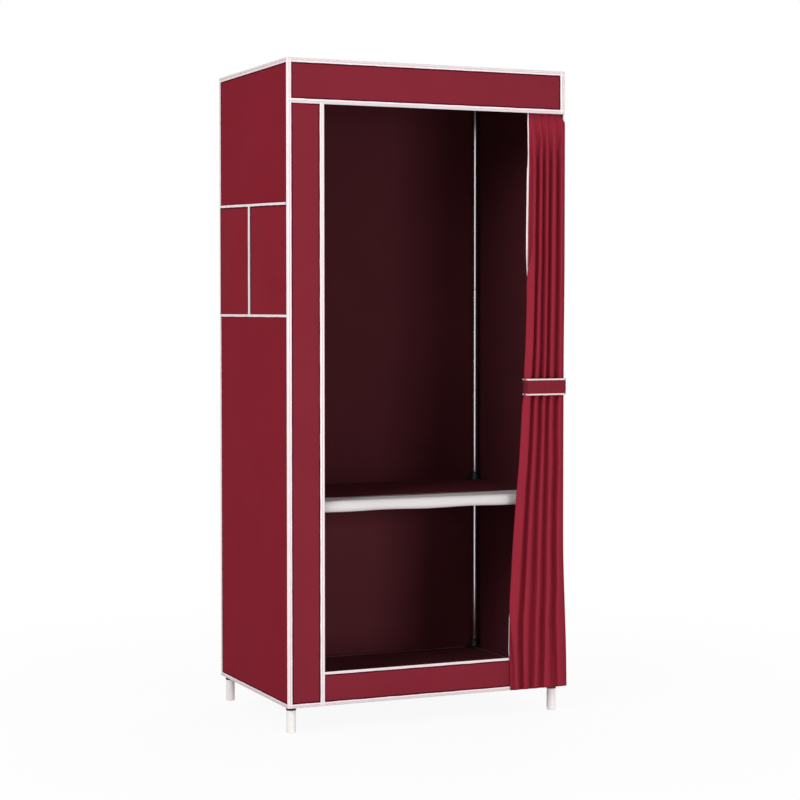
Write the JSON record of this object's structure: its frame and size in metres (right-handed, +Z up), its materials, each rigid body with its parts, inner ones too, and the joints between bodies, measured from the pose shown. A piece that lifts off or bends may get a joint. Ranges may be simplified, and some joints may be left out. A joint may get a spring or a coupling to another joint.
{
  "type": "portable fabric wardrobe",
  "caption": "Free-standing cloth wardrobe on a push-together tube frame, with a hanging rail, a shelf, a side-drawn curtain held by a tieback, and pockets on its left side.",
  "frame": {"origin": "middle of the whole object's footprint, on the floor", "axes": "+X towards the wardrobe's right as seen from its front, +Y towards its back, +Z up"},
  "size_m": [0.722, 0.5012, 1.5431],
  "materials": {
    "cover_cloth": "matt burgundy non-woven cloth with a fine cross-ribbed press",
    "curtain_cloth": "the same burgundy cloth, hanging in folds",
    "white_cloth": "matt white non-woven cloth",
    "binding_tape": "white folded edge tape, stitched along its middle",
    "steel_tube": "bright plated steel tube",
    "connector_plastic": "black moulded plastic",
    "foot_plastic": "white moulded plastic"
  },
  "bodies": {
    "frame_and_cover": {"foot_front_left": "foot_plastic", "base_connector_front_left": "connector_plastic", "shelf_connector_front_left": "connector_plastic", "top_connector_front_left": "connector_plastic", "lower_post_front_left": "steel_tube", "middle_post_front_left": "steel_tube", "upper_post_front_left": "steel_tube", "foot_front_right": "foot_plastic", "base_connector_front_right": "connector_plastic", "shelf_connector_front_right": "connector_plastic", "top_connector_front_right": "connector_plastic", "lower_post_front_right": "steel_tube", "middle_post_front_right": "steel_tube", "upper_post_front_right": "steel_tube", "foot_back_left": "foot_plastic", "base_connector_back_left": "connector_plastic", "shelf_connector_back_left": "connector_plastic", "top_connector_back_left": "connector_plastic", "lower_post_back_left": "steel_tube", "middle_post_back_left": "steel_tube", "upper_post_back_left": "steel_tube", "foot_back_right": "foot_plastic", "base_connector_back_right": "connector_plastic", "shelf_connector_back_right": "connector_plastic", "top_connector_back_right": "connector_plastic", "lower_post_back_right": "steel_tube", "middle_post_back_right": "steel_tube", "upper_post_back_right": "steel_tube", "base_rail_front": "steel_tube", "base_rail_back": "steel_tube", "base_rail_left": "steel_tube", "base_rail_right": "steel_tube", "shelf_rail_front": "steel_tube", "shelf_rail_back": "steel_tube", "shelf_rail_left": "steel_tube", "shelf_rail_right": "steel_tube", "top_rail_front": "steel_tube", "top_rail_back": "steel_tube", "top_rail_left": "steel_tube", "top_rail_right": "steel_tube", "rail_clip_left": "connector_plastic", "rail_clip_right": "connector_plastic", "hanging_rail": "steel_tube", "curtain_rod": "steel_tube", "shelf_cloth": "white_cloth", "base_cloth": "cover_cloth", "top_panel": "cover_cloth", "back_panel": "cover_cloth", "left_panel": "cover_cloth", "right_panel": "cover_cloth", "valance": "cover_cloth", "front_left_strip": "cover_cloth", "front_bottom_strip": "cover_cloth", "pocket_panel": "cover_cloth", "front_binding": "binding_tape", "body_binding": "binding_tape"},
    "curtain_lead": {"curtain": "curtain_cloth", "curtain_edge_binding": "binding_tape", "curtain_glide_ring": "foot_plastic"},
    "tieback": {"tieback": "curtain_cloth"}
  },
  "joints": [
    {"name": "curtain_slide", "type": "slide", "parent": "frame_and_cover", "child": "curtain_lead", "axis": [-1, 0, 0], "range_m": [0, 0.517], "deforming": ["curtain", "curtain_edge_binding"]},
    {"name": "tieback_swing", "type": "hinge", "parent": "frame_and_cover", "child": "tieback", "pos_m": [0.36047, -0.2225, 0.7885], "axis": [0, 0, 1], "range_deg": [0, 170]}
  ],
  "couplings": [
    {"joint": "tieback_swing", "follows": "curtain_slide", "rad_per_m": 5.7}
  ]
}
